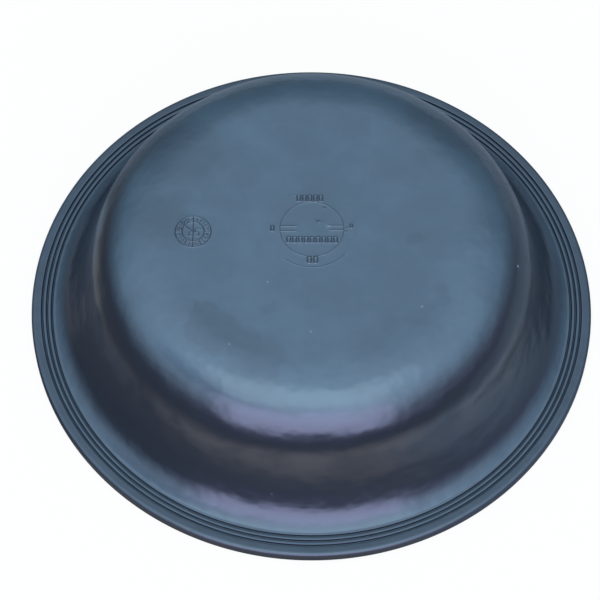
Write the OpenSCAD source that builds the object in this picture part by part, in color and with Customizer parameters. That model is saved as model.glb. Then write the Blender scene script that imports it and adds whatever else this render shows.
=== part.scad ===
// Cup diaphragm for a round air chamber, moulded in one piece of rubber.
// It lies dome up on its rim. The origin is at the middle of the rim's underside,
// and +Z runs up the axis of the cup.

/* [Rim] */
// Outside diameter over the rim
rim_d = 206; // [190:1:230]
// Thickness of the rim between the two housings that clamp it
rim_t = 4.6; // [4.2:0.1:6]
// Width of the smooth band between the rim's edge and the outermost groove
edge_band_w = 3.5; // [2.5:0.1:6]
// Rounding of the rim's upper edge
rim_top_r = 1.5; // [0.6:0.1:2]
// Rounding of the rim's lower edge
rim_bottom_r = 1; // [0.6:0.1:2]

/* [Sealing grooves] */
// Number of grooves round the rim's upper face
groove_count = 3; // [1:1:4]
// Distance from the middle of one groove to the middle of the next
groove_pitch = 1.8; // [1.5:0.1:3]
// Radius of each half-round groove
groove_r = 0.5; // [0.2:0.05:0.6]
// Width of the flat land between the innermost groove and the root of the cup
land_w = 0.4; // [0.2:0.1:3]

/* [Cup] */
// Height of the crown's outer face above the rim's underside
height = 54; // [50:1:70]
// Thickness of the crown, the shoulder, the side wall and the root
wall_t = 3.2; // [2.4:0.1:4]
// Outer radius of the soft shoulder between the crown and the side wall
shoulder_r = 27; // [20:1:32]
// Draft of the side wall under the shoulder, in degrees from the axis
wall_draft = 8; // [4:1:12]
// Draft at the flared foot of the wall, in degrees from the axis
foot_draft = 38; // [24:1:44]
// Radius of the hollow root between the foot of the wall and the rim
root_r = 20; // [15:0.5:26]
// Slope at which the root meets the rim's upper face, in degrees
root_slope = 29; // [20:1:38]

/* [Mould marks on the crown] */
// Diameter of the raised ring round the middle of the crown
centre_ring_d = 22.4; // [16:0.2:26]
// Diameter of the mould insert's edge, which shows as a wider ring
insert_ring_d = 31; // [28:0.2:40]
// Diameter of the date dial's outer ring
dial_d = 12.6; // [10:0.2:14]
// Distance between the date dial's outer and inner rings
dial_band_w = 2.4; // [1.5:0.1:3.5]
// Distance from the date dial to the edge of the crown's flat
dial_margin = 4.8; // [1:0.2:8]
// Direction of the date dial from the axis, in degrees
dial_angle = 182; // [0:1:359]
// Width of each raised line, which stands half as high as it is wide
mark_w = 0.5; // [0.2:0.05:0.8]

/* [Hidden] */

// Facets round a full turn, and degrees from one point of a curved outline to the next
turn_fn = 180;
arc_step = 3;

// Rim and grooves, from the outside in
rim_r = rim_d / 2;
groove_x = rim_r - edge_band_w - groove_r;
rim_inner_r = groove_x - (groove_count - 1) * groove_pitch - groove_r - land_w;

// The root, from the rim's upper face to the foot of the wall
root_centre = [rim_inner_r + root_r * sin(root_slope), rim_t + root_r * cos(root_slope)];
wall_foot = root_centre - root_r * [cos(foot_draft), sin(foot_draft)];

// The side wall is one hollow curve, which ends where the shoulder begins
shoulder_z = height - shoulder_r;
wall_head_z = shoulder_z + shoulder_r * sin(wall_draft);
wall_r = (wall_head_z - wall_foot[1]) / (sin(foot_draft) - sin(wall_draft));
wall_centre = wall_foot + wall_r * [cos(foot_draft), sin(foot_draft)];
wall_head_x = wall_centre[0] - wall_r * cos(wall_draft);

// The crown's flat, and the date dial beside its middle
crown_r = wall_head_x - shoulder_r * cos(wall_draft);
dial_reach = crown_r - dial_margin - dial_d / 2;

// Points along an arc, in one direction or the other, after the arc's start
function onward(centre, r, from_a, to_a) =
    let (steps = ceil(abs(to_a - from_a) / arc_step))
    [for (i = [1 : steps])
        let (a = from_a + (to_a - from_a) * i / steps)
        centre + r * [cos(a), sin(a)]];

// Points along an arc with its start
function arc(centre, r, from_a, to_a) = concat(
    [centre + r * [cos(from_a), sin(from_a)]],
    onward(centre, r, from_a, to_a)
);

// Outline of half the section: out over the cup and round the rim, then back inside
function section_outline() = concat(
    [[0, height]],
    arc([crown_r, shoulder_z], shoulder_r, 90, wall_draft),
    onward(wall_centre, wall_r, 180 + wall_draft, 180 + foot_draft),
    onward(root_centre, root_r, 180 + foot_draft, 270 - root_slope),
    arc([rim_r - rim_top_r, rim_t - rim_top_r], rim_top_r, 90, 0),
    arc([rim_r - rim_bottom_r, rim_bottom_r], rim_bottom_r, 0, -90),
    [[rim_inner_r, 0]],
    arc(root_centre, root_r + wall_t, 270 - root_slope, 180 + foot_draft),
    onward(wall_centre, wall_r + wall_t, 180 + foot_draft, 180 + wall_draft),
    onward([crown_r, shoulder_z], shoulder_r - wall_t, wall_draft, 90),
    [[0, height - wall_t]]
);

// Sections of the sealing grooves in the rim's upper face
module groove_sections() {
    for (i = [0 : groove_count - 1])
        translate([groove_x - i * groove_pitch, rim_t])
            circle(r = groove_r, $fn = turn_fn);
}

// Sections of the two raised rings round the middle of the crown
module ring_sections() {
    for (ring_d = [centre_ring_d, insert_ring_d])
        translate([ring_d / 2, height])
            circle(d = mark_w, $fn = turn_fn);
}

// The two raised rings of the date dial
module dial_rings() {
    for (ring_r = [dial_d / 2, dial_d / 2 - dial_band_w])
        rotate(dial_angle)
            translate([dial_reach, 0, height])
                rotate_extrude($fn = turn_fn)
                    translate([ring_r, 0])
                        circle(d = mark_w, $fn = turn_fn);
}

// The whole diaphragm, one moulding of black rubber
module diaphragm() {
    color([0.17, 0.2, 0.24])
        union() {
            rotate_extrude($fn = turn_fn)
                difference() {
                    union() {
                        polygon(section_outline());
                        ring_sections();
                    }
                    groove_sections();
                }
            dial_rings();
        }
}

diaphragm();
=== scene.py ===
import math

import bpy
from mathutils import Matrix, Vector, noise
from mathutils.geometry import delaunay_2d_cdt, interpolate_bezier


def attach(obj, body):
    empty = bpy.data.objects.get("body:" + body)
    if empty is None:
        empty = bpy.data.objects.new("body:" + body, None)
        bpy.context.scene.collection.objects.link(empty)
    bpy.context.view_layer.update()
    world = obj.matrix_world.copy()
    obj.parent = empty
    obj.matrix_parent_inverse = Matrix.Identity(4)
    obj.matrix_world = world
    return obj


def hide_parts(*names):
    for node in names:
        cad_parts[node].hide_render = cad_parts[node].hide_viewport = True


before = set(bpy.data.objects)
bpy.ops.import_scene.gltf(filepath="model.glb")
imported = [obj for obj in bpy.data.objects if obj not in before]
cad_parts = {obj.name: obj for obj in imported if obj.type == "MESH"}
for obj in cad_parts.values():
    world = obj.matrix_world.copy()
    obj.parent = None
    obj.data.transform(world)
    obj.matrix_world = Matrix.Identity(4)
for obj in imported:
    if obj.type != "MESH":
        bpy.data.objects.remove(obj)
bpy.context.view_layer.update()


# The camera looks down on the cup from 60 degrees above the floor, from the side that
# the marks on the crown read from, through a long lens. It aims a few millimetres
# left of and behind the middle of the rim.
mm = 0.001
camera_distance = 925.2 * mm
camera_height_angle = math.radians(60.01)
camera_aim = Vector((-4.18 * mm, 2.52 * mm, 0))

camera_data = bpy.data.cameras.new("camera")
camera_data.sensor_width = 36
camera_data.lens = 150.12
camera = bpy.data.objects.new("camera", camera_data)
camera.location = camera_distance * Vector(
    (0, -math.cos(camera_height_angle), math.sin(camera_height_angle)))
camera.rotation_euler = (camera_aim - camera.location).to_track_quat("-Z", "Y").to_euler()
bpy.context.collection.objects.link(camera)
bpy.context.scene.camera = camera
bpy.context.scene.view_settings.view_transform = "Standard"


# The diaphragm: one compression moulding of black rubber. A flat crown runs through a
# soft shoulder into a wall that flares into a hollow root, and then into the clamped
# rim with its three sealing grooves. The crown carries thin raised mould marks.
height = 54 * mm
wall = 3.2 * mm
shoulder_r, root_r = 27 * mm, 19 * mm
wall_draft, foot_draft, root_slope = 10.8, 32, 29
rim_r, rim_t = 102.97 * mm, 4.6 * mm
rim_top_r, rim_bottom_r = 1.5 * mm, 1 * mm
rim_inner_r = 94.5 * mm
groove_circles = (95.4 * mm, 97.2 * mm, 99 * mm)
turn_steps = 384


def out_by(length, angle):
    """A step of a length across the section, at an angle in degrees above the level."""
    return Vector((math.cos(math.radians(angle)), math.sin(math.radians(angle)))) * length


# The section's arcs run into each other: the root, the hollow wall and the shoulder
root_centre = Vector((rim_inner_r, rim_t)) + out_by(root_r, 90 - root_slope)
wall_foot = root_centre - out_by(root_r, foot_draft)
shoulder_z = height - shoulder_r
wall_head_z = shoulder_z + out_by(shoulder_r, wall_draft).y
wall_r = (wall_head_z - wall_foot.y) / (out_by(1, foot_draft).y - out_by(1, wall_draft).y)
wall_centre = wall_foot + out_by(wall_r, foot_draft)
crown_r = wall_centre.x - out_by(wall_r + shoulder_r, wall_draft).x
shoulder_centre = (crown_r, shoulder_z)


def arc(centre, radius, start, end, step=2.5):
    """Points along an arc of the section, in one direction or the other."""
    steps = math.ceil(abs(end - start) / step)
    angles = [math.radians(start + (end - start) * i / steps) for i in range(steps + 1)]
    return [(centre[0] + radius * math.cos(a), centre[1] + radius * math.sin(a))
            for a in angles]


def straight(start, end, parts):
    """Points between two ends of the section, without the ends themselves."""
    return [(start[0] + (end[0] - start[0]) * i / parts,
             start[1] + (end[1] - start[1]) * i / parts) for i in range(1, parts)]


# One groove across, with rounded lips: how far from its middle and how deep each point
# lies, in millimetres
groove_shape = ((-0.58, 0), (-0.48, 0.03), (-0.4, 0.13), (-0.34, 0.42), (-0.22, 0.76),
                (0, 0.84), (0.22, 0.76), (0.34, 0.42), (0.4, 0.13), (0.48, 0.03), (0.58, 0))

# Between these drafts the shoulder eases into the wall, without a line where they meet
shoulder_end, wall_start = 24, 15
ease_steps = 22
outline = arc(shoulder_centre, shoulder_r, 90, shoulder_end)
ease_from, ease_to = Vector(outline[-1]), wall_centre - out_by(wall_r, wall_start)
handle = (ease_to - ease_from).length / 3
ease_points = interpolate_bezier(
    ease_from, ease_from + out_by(handle, shoulder_end - 90),
    ease_to - out_by(handle, wall_start - 90), ease_to, ease_steps)
outline += [(p.x, p.y) for p in ease_points[1:-1]]
outline += arc(wall_centre, wall_r, 180 + wall_start, 180 + foot_draft, 1.5)
outline += arc(root_centre, root_r, 180 + foot_draft, 270 - root_slope)[1:-1]
outline += [(rim_inner_r - 0.1 * mm, rim_t + 0.04 * mm)]
for circle_r in groove_circles:
    outline += [(circle_r + across * mm, rim_t - deep * mm) for across, deep in groove_shape]
rim_edge = arc((rim_r - rim_top_r, rim_t - rim_top_r), rim_top_r, 90, 0, 11)
outline += straight(outline[-1], rim_edge[0], 4) + rim_edge
outline += arc((rim_r - rim_bottom_r, rim_bottom_r), rim_bottom_r, 0, -90, 15)
outer_rows = len(outline)

# The underside: the rim's flat seat, and then the inside at the wall's thickness
outline += [(rim_inner_r, 0)]
outline += arc(root_centre, root_r + wall, 270 - root_slope, 180 + foot_draft, 5)
outline += arc(wall_centre, wall_r + wall, 180 + foot_draft, 180 + wall_draft, 5)[1:]
outline += arc(shoulder_centre, shoulder_r - wall, wall_draft, 90, 5)[1:]

# The raised marks, as lines with a half width and a height. Every line is a list of
# points in millimetres from the middle of the crown.
marks = []


def mark(points, half_width=0.3, high=0.22):
    """Adds one raised line to the crown."""
    marks.append((points, half_width, high))


def ring(centre, radius, half_width=0.3, high=0.22, start=0, end=360):
    """Adds a raised ring, or a part of one, to the crown, in half-millimetre steps."""
    steps = max(8, math.ceil(radius * math.radians(end - start) / 0.5))
    turns = [math.radians(start + (end - start) * i / steps) for i in range(steps + 1)]
    mark([(centre[0] + radius * math.cos(a), centre[1] + radius * math.sin(a))
          for a in turns], half_width, high)


# The middle ring, the parts that show of the mould insert's edge round it, and two
# pairs of bars inside the ring
ring((0, 0), 11.2, half_width=0.28, high=0.13)
for start, end, high in ((232, 262, 0.07), (266, 318, 0.09), (344, 358, 0.06), (102, 118, 0.05)):
    ring((0, 0), 15.5, 0.4, high, start, end)
for left, right, up in ((-11, -5.7, 1.2), (-11, -5.9, -0.8), (6.6, 11, 1.5), (6.9, 11, -0.3)):
    mark([(left, up), (right, up)])


def cell_row(middle, up, count, pitch, wide, tall):
    """Adds a row of small upright frames round a middle, like empty cells of a counter."""
    for i in range(count):
        x = middle + (i - (count - 1) / 2) * pitch
        corners = [(x - wide / 2, up - tall / 2), (x - wide / 2, up + tall / 2),
                   (x + wide / 2, up + tall / 2), (x + wide / 2, up - tall / 2)]
        mark(corners + corners[:1], half_width=0.37, high=0.25)


# The rows round and inside the middle ring, and a few low pimples of the mould
cell_row(-0.8, 12.8, 5, 1.95, 1.15, 2.3)
cell_row(0.1, -4.35, 9, 2.05, 1.2, 2.2)
cell_row(0.3, -12.6, 2, 2.2, 1.3, 2.3)
cell_row(-13.9, 0.2, 1, 1, 1, 2)
cell_row(13.9, 1.4, 1, 1, 0.8, 1.2)
for x, y in ((4.1, 8.9), (2.6, 3.3), (12.4, 0.7), (11.8, -0.9)):
    mark([(x, y), (x + 0.2, y)], half_width=0.55, high=0.13)

# The date dial: two rings, a cell for each month, a line across and an arrow
dial = (-41.67, -1.46)
dial_r, dial_inner_r = 6.3, 3.9
ring(dial, dial_r, half_width=0.25)
ring(dial, dial_inner_r, half_width=0.25)
for month in range(12):
    turn = math.radians(30 * month)
    mark([(dial[0] + r * math.cos(turn), dial[1] + r * math.sin(turn))
          for r in (dial_inner_r, dial_r)], half_width=0.22, high=0.18)
mark([(dial[0], dial[1] - dial_r), (dial[0], dial[1] + dial_r)], half_width=0.22, high=0.18)
mark([(dial[0] - 4.4, dial[1] + 3.6), (dial[0], dial[1])])

# Strokes of the plain numbers in the dial's cells, on a grid one wide and two high
digit_strokes = {
    "0": ((0, 0, 1, 0), (1, 0, 1, 2), (1, 2, 0, 2), (0, 2, 0, 0)),
    "1": ((0.5, 0, 0.5, 2), (0.5, 2, 0.1, 1.6)),
    "2": ((0, 2, 1, 2), (1, 2, 1, 1), (1, 1, 0, 1), (0, 1, 0, 0), (0, 0, 1, 0)),
    "3": ((0, 2, 1, 2), (1, 2, 1, 0), (1, 0, 0, 0), (0, 1, 1, 1)),
    "4": ((0, 2, 0, 1), (0, 1, 1, 1), (1, 2, 1, 0)),
    "5": ((1, 2, 0, 2), (0, 2, 0, 1), (0, 1, 1, 1), (1, 1, 1, 0), (1, 0, 0, 0)),
    "6": ((1, 2, 0, 2), (0, 2, 0, 0), (0, 0, 1, 0), (1, 0, 1, 1), (1, 1, 0, 1)),
    "7": ((0, 2, 1, 2), (1, 2, 0.4, 0)),
    "8": ((0, 0, 1, 0), (1, 0, 1, 2), (1, 2, 0, 2), (0, 2, 0, 0), (0, 1, 1, 1)),
    "9": ((1, 1, 0, 1), (0, 1, 0, 2), (0, 2, 1, 2), (1, 2, 1, 0), (1, 0, 0, 0)),
}


def number(text, centre, digit_w, half_width=0.15, high=0.18):
    """Adds a plain number to the crown, upright round a centre."""
    pitch = digit_w * 1.6
    for i, digit in enumerate(text):
        left = centre[0] + (i - (len(text) - 1) / 2) * pitch - digit_w / 2
        for x0, y0, x1, y1 in digit_strokes[digit]:
            mark([(left + x0 * digit_w, centre[1] + (y0 - 1) * digit_w),
                  (left + x1 * digit_w, centre[1] + (y1 - 1) * digit_w)], half_width, high)


# The months run clockwise from the top, and two figures stand beside the middle
month_r = (dial_r + dial_inner_r) / 2
for month in range(12):
    turn = math.radians(75 - 30 * month)
    number(str(month + 1),
           (dial[0] + month_r * math.cos(turn), dial[1] + month_r * math.sin(turn)), 0.6)
number("25", (dial[0] + 0.3, dial[1] - 0.3), 1.3, half_width=0.24, high=0.2)


def distance_to_line(x, y, points):
    """Shortest distance from a place to a line of points."""
    best = 1e9
    for (x0, y0), (x1, y1) in zip(points, points[1:]):
        dx, dy = x1 - x0, y1 - y0
        along = max(0, min(1, ((x - x0) * dx + (y - y0) * dy) / (dx * dx + dy * dy)))
        best = min(best, math.hypot(x - x0 - along * dx, y - y0 - along * dy))
    return best


# Points across every mark to a little past its sides, and along it, in millimetres, so
# that the crown's mesh is fine only there
along_step, points_aside, past_sides = 0.3, 4, 1.15
crown_points = []
for points, half_width, high in marks:
    reach = half_width * past_sides
    for (x0, y0), (x1, y1) in zip(points, points[1:]):
        length = math.hypot(x1 - x0, y1 - y0)
        ux, uy = (x1 - x0) / length, (y1 - y0) / length
        parts = max(1, round(length / along_step))
        for i in range(parts + 1):
            x, y = x0 + (x1 - x0) * i / parts, y0 + (y1 - y0) * i / parts
            for k in range(-points_aside, points_aside + 1):
                aside = reach * k / points_aside
                crown_points.append((x - uy * aside, y + ux * aside))
mark_boxes = [(min(p[0] for p in points) - half_width, max(p[0] for p in points) + half_width,
               min(p[1] for p in points) - half_width, max(p[1] for p in points) + half_width,
               points, half_width, high) for points, half_width, high in marks]


def crown_height(x, y):
    """How far the crown stands above its flat at a place, in millimetres."""
    rise = 0
    for x0, x1, y0, y1, points, half_width, high in mark_boxes:
        if x0 < x < x1 and y0 < y < y1:
            away = distance_to_line(x, y, points)
            if away < half_width:
                rise = max(rise, high * 0.5 * (1 + math.cos(math.pi * away / half_width)))
    return rise


most_sunk, sunk_patch = 0.12 * mm, 32 * mm


def sunk(x, y, z):
    """How far the skin lies under its true form at a place in metres, from moulding."""
    return most_sunk * (0.5 + 0.5 * noise.noise(Vector((x, y, z)) / sunk_patch))


# Evenly spaced points over the whole flat. Of points that fall together, one is kept.
spacing, together, last_r = 2.4, 0.05, 51
for ring_i in range(1, 22):
    around = round(math.tau * ring_i)
    for i in range(around):
        a = math.tau * i / around
        crown_points.append((ring_i * spacing * math.cos(a), ring_i * spacing * math.sin(a)))
kept, seen = [], set()
for x, y in crown_points:
    spot = (round(x / together), round(y / together))
    if spot not in seen and math.hypot(x, y) < last_r:
        seen.add(spot)
        kept.append(Vector((x, y)))
edge = [Vector((crown_r / mm * math.cos(math.tau * i / turn_steps),
                crown_r / mm * math.sin(math.tau * i / turn_steps)))
        for i in range(turn_steps)]
inside_edge, tolerance = 1, 1e-6
flat = delaunay_2d_cdt(edge + kept, [], [list(range(turn_steps))], inside_edge, tolerance, True)
flat_points, flat_faces, flat_sources = flat[0], flat[2], flat[3]
# The edge's points have to come first and in order, because the next row joins them
assert [sources[0] for sources in flat_sources[:turn_steps]] == list(range(turn_steps))

# The flat with its marks, and then one row of points round the axis for each point of
# the outline. Grime and shade is 1 where the rubber is dark, without any bloom: on the
# rubbed marks; down in the grooves, as painted shade that deepens with their depth; and,
# less so, out over the root, partly wear and partly painted shade in the crease at the
# wall's foot, and over the rim.
verts, grime_and_shade = [], []
rubbed_from, rubbed_over = 0.05, 0.11
# Out over the root the rubber darkens towards the rim: partly wear, partly painted shade in the
# crease at the wall's foot.
wear_and_shade_from_r, wear_and_shade_over, most_wear_and_shade = 84 * mm, 12 * mm, 0.35
# How deep in a groove the painted shade is full.
groove_shade_depth = 0.3 * mm
for p in flat_points:
    rise = crown_height(p.x, p.y)
    x, y = p.x * mm, p.y * mm
    verts.append((x, y, height + rise * mm - sunk(x, y, height)))
    grime_and_shade.append(max(0, min(1, (rise - rubbed_from) / rubbed_over)))
faces = [tuple(f) for f in flat_faces]
row_start = [0]
grooves_end_r = groove_circles[-1] + 0.6 * mm
for row in range(1, len(outline)):
    r, z = outline[row]
    before, after = outline[row - 1], outline[(row + 1) % len(outline)]
    out = Vector((before[1] - after[1], after[0] - before[0])).normalized()
    # Out over the root: partly wear, partly painted shade in the crease at the wall's foot.
    wear_and_shade = min(most_wear_and_shade, max(0, (r - wear_and_shade_from_r) / wear_and_shade_over))
    if r > rim_inner_r:
        wear_and_shade = 0.8 if r > grooves_end_r else 0.45
    if r > rim_r - rim_top_r:
        wear_and_shade = 0.7
    # Down in the grooves: painted shade, darker the deeper the rubber lies.
    if rim_inner_r < r < grooves_end_r and z > rim_t / 2:
        wear_and_shade = min(1, wear_and_shade + (rim_t - z) / groove_shade_depth)
    row_start.append(len(verts))
    for i in range(turn_steps):
        a = math.tau * i / turn_steps
        deep = 0
        if row < outer_rows and r < rim_inner_r:
            deep = sunk(r * math.cos(a), r * math.sin(a), z)
        skin_r = r - out.x * deep
        verts.append((skin_r * math.cos(a), skin_r * math.sin(a), z - out.y * deep))
        grime_and_shade.append(wear_and_shade)
for upper, lower in zip(row_start, row_start[1:]):
    for i in range(turn_steps):
        after = (i + 1) % turn_steps
        faces.append((upper + i, lower + i, lower + after, upper + after))
inner_crown = tuple(row_start[-1] + i for i in range(turn_steps))
faces.append(inner_crown)

rubber_mesh = bpy.data.meshes.new("diaphragm_rubber")
rubber_mesh.from_pydata(verts, [], faces)
rubber_mesh.attributes.new("grime_and_shade", "FLOAT", "POINT").data.foreach_set("value", grime_and_shade)
rubber_mesh.shade_smooth()
rubber_piece = bpy.data.objects.new("diaphragm_rubber", rubber_mesh)
bpy.context.collection.objects.link(rubber_piece)


def add_node(tree, kind, values=None, **settings):
    """Adds a shader node. A value is a number, a colour or another node's socket."""
    made = tree.nodes.new(kind)
    for name, setting in settings.items():
        setattr(made, name, setting)
    for key, value in (values or {}).items():
        if isinstance(value, bpy.types.NodeSocket):
            tree.links.new(value, made.inputs[key])
        else:
            made.inputs[key].default_value = value
    return made


rubber = bpy.data.materials.new("black_rubber")
rubber.use_nodes = True
tree = rubber.node_tree
shader = tree.nodes["Principled BSDF"]
shader.inputs["IOR"].default_value = 1.9
shader.inputs["Sheen Weight"].default_value = 0.05
shader.inputs["Sheen Roughness"].default_value = 0.2
shader.inputs["Sheen Tint"].default_value = (0.9, 0.88, 1, 1)
place = add_node(tree, "ShaderNodeTexCoord").outputs["Object"]


def patches(scale, detail, low, high, rough=0.55, offset=0, clamp=True):
    """A soft cloud of noise on the rubber, spread between two values."""
    spot = add_node(tree, "ShaderNodeVectorMath", {0: place, 1: (offset, offset, offset)},
                    operation="ADD")
    cloud = add_node(tree, "ShaderNodeTexNoise",
                     {"Vector": spot.outputs["Vector"], "Scale": scale, "Detail": detail,
                      "Roughness": rough})
    spread = add_node(tree, "ShaderNodeMapRange",
                      {"Value": cloud.outputs["Fac"], "From Min": 0.33, "From Max": 0.67,
                       "To Min": low, "To Max": high}, clamp=clamp,
                      interpolation_type="SMOOTHSTEP" if clamp else "LINEAR")
    return spread.outputs[0]


def work_out(operation, first, second, third=0):
    """One maths operation on two or three factors, in the tree that is being built."""
    return add_node(tree, "ShaderNodeMath", {0: first, 1: second, 2: third},
                    operation=operation).outputs[0]


def multiply(first, second):
    """One factor times another."""
    return work_out("MULTIPLY", first, second)


def mix(factor, first, second):
    """A blend of two colours."""
    return add_node(tree, "ShaderNodeMix", {"Factor": factor, "A": first, "B": second},
                    data_type="RGBA").outputs["Result"]


# The grey-blue bloom lies on what faces up: partly real bloom, partly painted light
# that makes the top lighter than the walls. A little brown is on the steep wall, on the
# near side only.
facing = add_node(tree, "ShaderNodeSeparateXYZ",
                  {0: add_node(tree, "ShaderNodeNewGeometry").outputs["Normal"]}).outputs["Z"]
lying = add_node(tree, "ShaderNodeMapRange",
                 {"Value": facing, "From Min": 0.62, "From Max": 0.88},
                 interpolation_type="SMOOTHSTEP").outputs[0]
standing = add_node(tree, "ShaderNodeMapRange",
                    {"Value": facing, "From Min": 0.12, "From Max": 0.45, "To Min": 1,
                     "To Max": 0}, interpolation_type="SMOOTHSTEP").outputs[0]
# Partly real bloom, partly painted light that makes what faces up lighter than the walls.
bloom_and_top_light = multiply(lying, multiply(patches(34, 4, 0.72, 1), patches(120, 3, 0.92, 1.02)))

# Places on the crown where the skin is left darker: the middle and the radius of each
# in millimetres, how thick the bloom is left there, and how softly its edge ends. The
# edges stray to and fro round their circles.
stray = 16 * mm
wavy = add_node(tree, "ShaderNodeVectorMath",
                {0: add_node(tree, "ShaderNodeTexNoise",
                             {"Vector": place, "Scale": 70, "Detail": 5}).outputs["Color"],
                 1: (stray, stray, 0), 2: place}, operation="MULTIPLY_ADD").outputs[0]
whole = 1
for x, y, radius, left_over, soft in (
        (-37, -33.5, 4.5, 0.7, 0.15), (-38, -38.5, 5.5, 0.72, 0.2), (-31, -42, 7, 0.74, 0.2),
        (-24, -46, 7, 0.78, 0.3), (-17, -51, 8, 0.82, 0.4), (-47, 33, 15, 0.68, 0.5),
        (44, 42, 16, 0.8, 0.5), (0, 62, 20, 0.86, 0.4), (-51, 4, 10, 0.66, 0.4),
        (27, 28, 7, 0.86, 0.5), (28, -37, 5, 0.82, 0.4), (-23, 20, 4, 0.82, 0.5),
        (-12.5, -31, 3, 0.8, 0.5), (37, -5, 3, 0.8, 0.5), (47, -26, 3, 0.8, 0.5),
        (-9, 38, 6, 0.86, 0.5), (15, 43, 6, 0.86, 0.5)):
    away = add_node(tree, "ShaderNodeVectorMath",
                    {0: wavy, 1: (x * mm + stray / 2, y * mm + stray / 2, height)},
                    operation="DISTANCE")
    thin = add_node(tree, "ShaderNodeMapRange",
                    {"Value": away.outputs["Value"], "From Min": radius * (1 - soft) * mm,
                     "From Max": radius * (1 + soft) * mm, "To Min": left_over, "To Max": 1},
                    interpolation_type="SMOOTHSTEP")
    whole = work_out("MINIMUM", whole, thin.outputs[0])
bloom_and_top_light = multiply(bloom_and_top_light, whole)
place_along = add_node(tree, "ShaderNodeSeparateXYZ", {0: place}).outputs
near_side = add_node(tree, "ShaderNodeMapRange",
                   {"Value": place_along["Y"], "From Min": 0, "From Max": 25 * mm,
                    "To Min": 1, "To Max": 0}, interpolation_type="SMOOTHSTEP").outputs[0]
# A little brown on the steep wall, on the near side only.
near_wall_brown = multiply(multiply(standing, near_side), patches(46, 4, 0, 1, rough=0.65, offset=3))
# The bare skin, with the bloom and the painted top light over it.
skin = mix(bloom_and_top_light, (0.011, 0.014, 0.022, 1), (0.058, 0.09, 0.108, 1))
skin = mix(near_wall_brown, skin, (0.05, 0.043, 0.044, 1))
grime_and_shade_here = add_node(tree, "ShaderNodeAttribute", attribute_name="grime_and_shade").outputs["Fac"]
# The dark of the rubbed marks, with painted shade down in the grooves and, in part, over the
# root.
skin = mix(grime_and_shade_here, skin, (0.004, 0.009, 0.018, 1))
roughness = work_out("MULTIPLY_ADD", multiply(grime_and_shade_here, grime_and_shade_here), 0.22, 0.235)
tree.links.new(roughness, shader.inputs["Roughness"])

# Specks of pale dust: where each one sticks to the skin in millimetres, and how pale
speck = 0
for x, y, z, pale in (
        (72.7, -8.9, 44.6, 0.7), (38.2, -31, 54, 0.35), (-15.2, -21.6, 54, 0.25),
        (0, -41.3, 54, 0.3), (-27.9, -46.4, 54, 0.25), (-13.2, -84, 14.9, 0.2)):
    away = add_node(tree, "ShaderNodeVectorMath",
                    {0: place, 1: (x * mm, y * mm, z * mm)}, operation="DISTANCE")
    here = add_node(tree, "ShaderNodeMapRange",
                    {"Value": away.outputs["Value"], "From Min": 0.2 * mm,
                     "From Max": 0.6 * mm, "To Min": pale, "To Max": 0}).outputs[0]
    speck = work_out("MAXIMUM", speck, here)
skin = mix(speck, skin, (0.3, 0.36, 0.38, 1))
tree.links.new(skin, shader.inputs["Base Color"])

# Faint unevenness of the moulded skin, in millimetres, and the streaks that the turned
# mould leaves round the axis. Both are weaker on the crown's flat. The streaks are
# noise that is fine across the section and drawn out round the axis.
streaks_across, streaks_round = 180, 1.6
uneven = patches(45, 3, -0.15, 0.15, offset=11, clamp=False)
flat_place = add_node(tree, "ShaderNodeVectorMath", {0: place, 1: (1, 1, 0)},
                      operation="MULTIPLY").outputs[0]
from_axis = add_node(tree, "ShaderNodeVectorMath", {0: flat_place},
                     operation="LENGTH").outputs["Value"]
round_axis = add_node(tree, "ShaderNodeVectorMath",
                      {0: add_node(tree, "ShaderNodeVectorMath", {0: flat_place},
                                   operation="NORMALIZE").outputs[0],
                       1: (streaks_round, streaks_round, 0),
                       2: add_node(tree, "ShaderNodeCombineXYZ",
                                   {2: multiply(from_axis, streaks_across)}).outputs[0]},
                      operation="MULTIPLY_ADD").outputs[0]
streaks = add_node(tree, "ShaderNodeTexNoise",
                   {"Vector": round_axis, "W": multiply(place_along["Z"], streaks_across),
                    "Scale": 1, "Detail": 3}, noise_dimensions="4D").outputs["Fac"]
uneven = work_out("MULTIPLY_ADD", streaks, 0.12, uneven)
off_flat = add_node(tree, "ShaderNodeMapRange",
                    {"Value": from_axis, "From Min": 44 * mm, "From Max": 58 * mm,
                     "To Min": 0.3, "To Max": 1}, interpolation_type="SMOOTHSTEP").outputs[0]
uneven = multiply(uneven, off_flat)
grain = patches(700, 3, -0.0008, 0.0008, clamp=False)
bump = add_node(tree, "ShaderNodeBump",
                {"Height": work_out("ADD", uneven, grain), "Distance": mm, "Strength": 1})
tree.links.new(bump.outputs["Normal"], shader.inputs["Normal"])
rubber_mesh.materials.append(rubber)

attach(rubber_piece, "root")
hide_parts("diaphragm")


# The floor: a plain pale studio table top, wide enough to fill every view. It shows
# white to the camera wherever no shadow falls on it. The rubber mirrors it dimly: a
# pool of light close to the part, a bluer one beyond it, a small one at its left, and
# a dark contact shadow.
floor_half = 12
floor_mesh = bpy.data.meshes.new("floor")
floor_mesh.from_pydata([(-floor_half, -floor_half, 0), (floor_half, -floor_half, 0),
                        (floor_half, floor_half, 0), (-floor_half, floor_half, 0)],
                       [], [(0, 1, 2, 3)])
floor = bpy.data.objects.new("floor", floor_mesh)
bpy.context.collection.objects.link(floor)
paper = bpy.data.materials.new("white_paper")
paper.use_nodes = True
tree = paper.node_tree
shader = tree.nodes["Principled BSDF"]
shader.inputs["Base Color"].default_value = (1, 0.88, 0.7, 1)
shader.inputs["Roughness"].default_value = 0.8
shader.inputs["Specular IOR Level"].default_value = 0
path = add_node(tree, "ShaderNodeLightPath").outputs
direct = work_out("ADD", path["Is Camera Ray"], path["Is Transmission Ray"])
mirrored = path["Is Glossy Ray"]
on_floor = add_node(tree, "ShaderNodeTexCoord").outputs["Object"]


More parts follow.
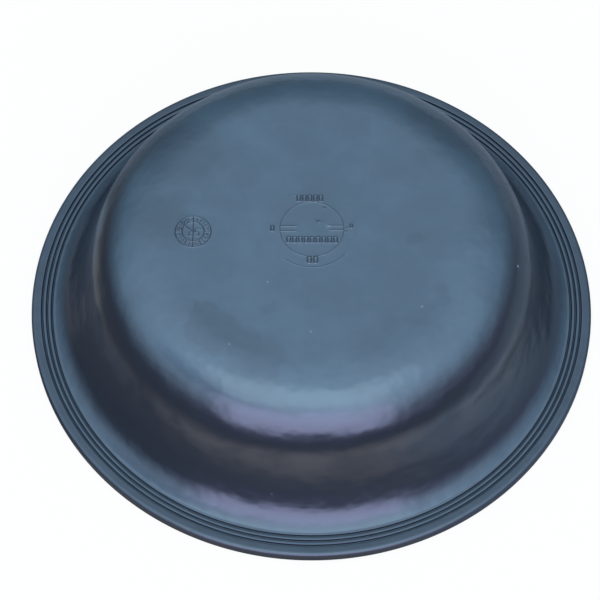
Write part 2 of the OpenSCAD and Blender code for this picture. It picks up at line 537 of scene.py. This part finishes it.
def fade_on_floor(middle, start, end, low, high):
    """From one value to another over a range of distances from a place on the floor."""
    away = add_node(tree, "ShaderNodeVectorMath", {0: on_floor, 1: middle},
                    operation="DISTANCE").outputs["Value"]
    return add_node(tree, "ShaderNodeMapRange",
                    {"Value": away, "From Min": start, "From Max": end, "To Min": low,
                     "To Max": high}, interpolation_type="SMOOTHSTEP").outputs[0]


part_middle, far_middle = (0, 0, 0), (0.19, 0.25, 0)
close = multiply(fade_on_floor((0.012, -0.037, 0), 0.094, 0.108, 0.3, 0.02),
                 fade_on_floor(part_middle, 0.1035, 0.107, 0.4, 1))
beyond = multiply(fade_on_floor(far_middle, 0.27, 0.44, 0.34, 0.02),
                  fade_on_floor(part_middle, 0.106, 0.12, 0.3, 1))
at_left = fade_on_floor((-0.125, 0.03, 0), 0.03, 0.045, 0.25, 0)
pools = work_out("ADD", work_out("ADD", close, beyond), at_left)
tint = mix(multiply(mirrored, fade_on_floor(far_middle, 0.36, 0.4, 1, 0)),
           (1, 1, 1, 1), (0.62, 0.86, 1.2, 1))

# To the camera and in the rubber, most of what leaves the paper is an even glow. The
# rest is light that falls on it, so the part's shadow shows.
strength = work_out("MULTIPLY_ADD", mirrored, pools, direct)
share = multiply(work_out("ADD", direct, mirrored), 0.92)
glow = add_node(tree, "ShaderNodeEmission", {"Color": tint, "Strength": strength})
blend = add_node(tree, "ShaderNodeMixShader",
                 {0: share, 1: shader.outputs[0], 2: glow.outputs[0]})
tree.links.new(blend.outputs[0], tree.nodes["Material Output"].inputs["Surface"])
floor_mesh.materials.append(paper)


# The light: a wide soft ceiling, brighter over the camera's side, and on that side a
# high and a low soft window with a dim gap at their left. All of it is far away, so it
# is the same all over the part.
world = bpy.data.worlds.new("studio")
bpy.context.scene.world = world
world.use_nodes = True
tree = world.node_tree
towards = add_node(tree, "ShaderNodeTexCoord").outputs["Generated"]


def part_of_sky(axis, start, end):
    """0 to 1 from one value to another of the direction's share along an axis."""
    along = add_node(tree, "ShaderNodeVectorMath", {0: towards, 1: axis},
                     operation="DOT_PRODUCT").outputs["Value"]
    return add_node(tree, "ShaderNodeMapRange",
                    {"Value": along, "From Min": start, "From Max": end},
                    interpolation_type="SMOOTHSTEP").outputs[0]


def soft_box(turn, rise, half_width, half_height, soft):
    """A rectangle of sky round a direction, with soft edges. Angles are in degrees."""
    turn, rise = math.radians(turn), math.radians(rise)
    side = (-math.sin(turn), math.cos(turn), 0)
    up = (-math.sin(rise) * math.cos(turn), -math.sin(rise) * math.sin(turn), math.cos(rise))
    front = (math.cos(rise) * math.cos(turn), math.cos(rise) * math.sin(turn), math.sin(rise))
    shape = part_of_sky(front, 0, 0.2)
    for axis, half in ((side, half_width), (up, half_height)):
        reach = math.sin(math.radians(half))
        for sign in (1, -1):
            edge = part_of_sky([sign * c for c in axis], reach + soft, reach - soft)
            shape = multiply(shape, edge)
    return shape


high_window = soft_box(-94, 61, 30, 15, 0.08)
dim_gap = soft_box(-138, 37, 25, 6, 0.07)
low_window = soft_box(-92, 23, 34, 16, 0.1)
ceiling = mix(part_of_sky((-0.1, -0.59, 0.8), -0.4, 0.86), (0.14, 0.2, 0.27, 1),
              (0.85, 1.2, 1.6, 1))
horizon = mix(part_of_sky((0.5, -0.85, 0), -0.1, 0.7), (0.12, 0.16, 0.22, 1),
              (0.26, 0.28, 0.45, 1))
sky = mix(part_of_sky((0, 0.1, 1), -0.12, 0.5), horizon, ceiling)
sky = mix(high_window, sky, (1.65, 2.3, 2.9, 1))
sky = mix(dim_gap, sky, (0.3, 0.39, 0.57, 1))
sky = mix(low_window, sky, (2.05, 2.25, 3.55, 1))
tree.links.new(sky, tree.nodes["Background"].inputs["Color"])
